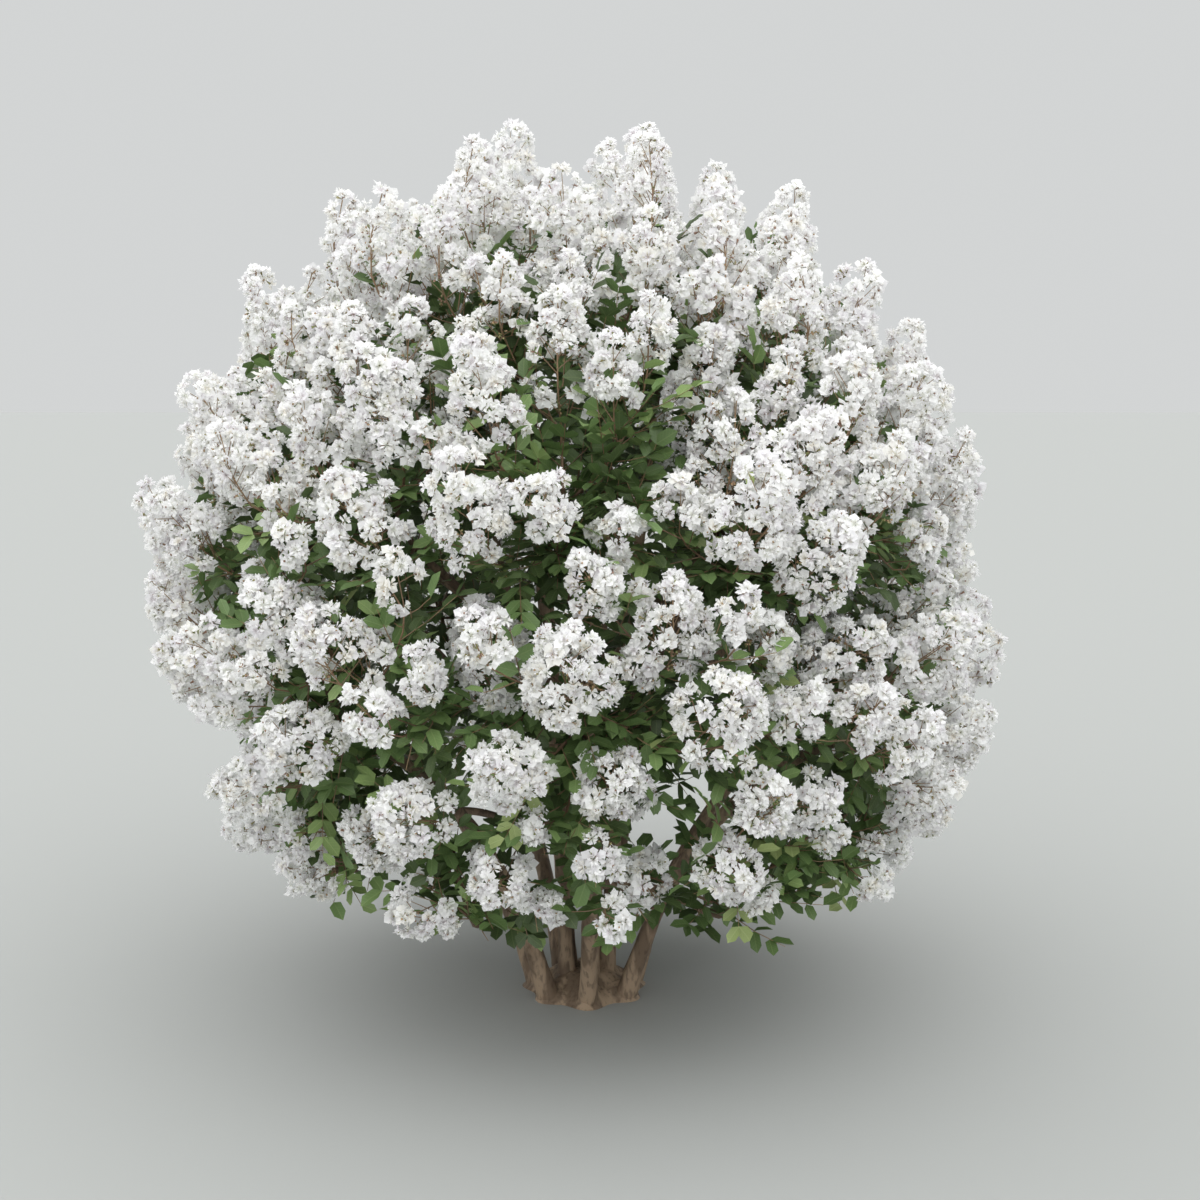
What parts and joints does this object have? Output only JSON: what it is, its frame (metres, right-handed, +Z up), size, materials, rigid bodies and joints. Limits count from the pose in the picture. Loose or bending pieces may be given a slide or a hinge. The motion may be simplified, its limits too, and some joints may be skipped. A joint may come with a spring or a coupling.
{
  "type": "crape myrtle shrub",
  "caption": "Many-stemmed crape myrtle shrub with a ball-shaped crown of upright white flower heads over dark green leaves, on a flared root crown cut flat at ground level.",
  "frame": {"origin": "middle of the flat cut under the root crown, at ground level", "axes": "+Z up, -Y towards the side that the picture shows, +X to that side's right"},
  "size_m": [1.9256, 1.9948, 2.0016],
  "materials": {
    "old_bark": "smooth grey-brown bark that peels in thin flakes",
    "young_bark": "thin reddish-brown bark",
    "crown_growth": "matte petals and slightly glossy leaves"
  },
  "bodies": {
    "root": {"root_crown": "old_bark", "inner_stem_1": "old_bark", "inner_stem_2": "old_bark", "inner_stem_3": "old_bark", "inner_stem_4": "old_bark", "inner_stem_5": "old_bark", "outer_stem_1": "old_bark", "outer_stem_2": "old_bark", "outer_stem_3": "old_bark", "outer_stem_4": "old_bark", "outer_stem_5": "old_bark", "outer_stem_6": "old_bark", "outer_stem_7": "old_bark", "shoulder_bough_1_left": "young_bark", "shoulder_bough_1_right": "young_bark", "shoulder_bough_2_left": "young_bark", "shoulder_bough_2_right": "young_bark", "shoulder_bough_3_left": "young_bark", "shoulder_bough_3_right": "young_bark", "shoulder_bough_4_left": "young_bark", "shoulder_bough_4_right": "young_bark", "shoulder_bough_5_left": "young_bark", "shoulder_bough_5_right": "young_bark", "skirt_bough_1": "young_bark", "skirt_bough_2": "young_bark", "skirt_bough_3": "young_bark", "skirt_bough_4": "young_bark", "skirt_bough_5": "young_bark", "skirt_bough_6": "young_bark", "skirt_bough_7": "young_bark", "top_mass_1": "crown_growth", "top_mass_2": "crown_growth", "top_mass_3": "crown_growth", "top_mass_4": "crown_growth", "top_mass_5": "crown_growth", "shoulder_mass_1_left": "crown_growth", "shoulder_mass_1_right": "crown_growth", "shoulder_mass_2_left": "crown_growth", "shoulder_mass_2_right": "crown_growth", "shoulder_mass_3_left": "crown_growth", "shoulder_mass_3_right": "crown_growth", "shoulder_mass_4_left": "crown_growth", "shoulder_mass_4_right": "crown_growth", "shoulder_mass_5_left": "crown_growth", "shoulder_mass_5_right": "crown_growth", "middle_mass_1": "crown_growth", "middle_mass_2": "crown_growth", "middle_mass_3": "crown_growth", "middle_mass_4": "crown_growth", "middle_mass_5": "crown_growth", "middle_mass_6": "crown_growth", "middle_mass_7": "crown_growth", "skirt_mass_1": "crown_growth", "skirt_mass_2": "crown_growth", "skirt_mass_3": "crown_growth", "skirt_mass_4": "crown_growth", "skirt_mass_5": "crown_growth", "skirt_mass_6": "crown_growth", "skirt_mass_7": "crown_growth"}
  },
  "joints": []
}
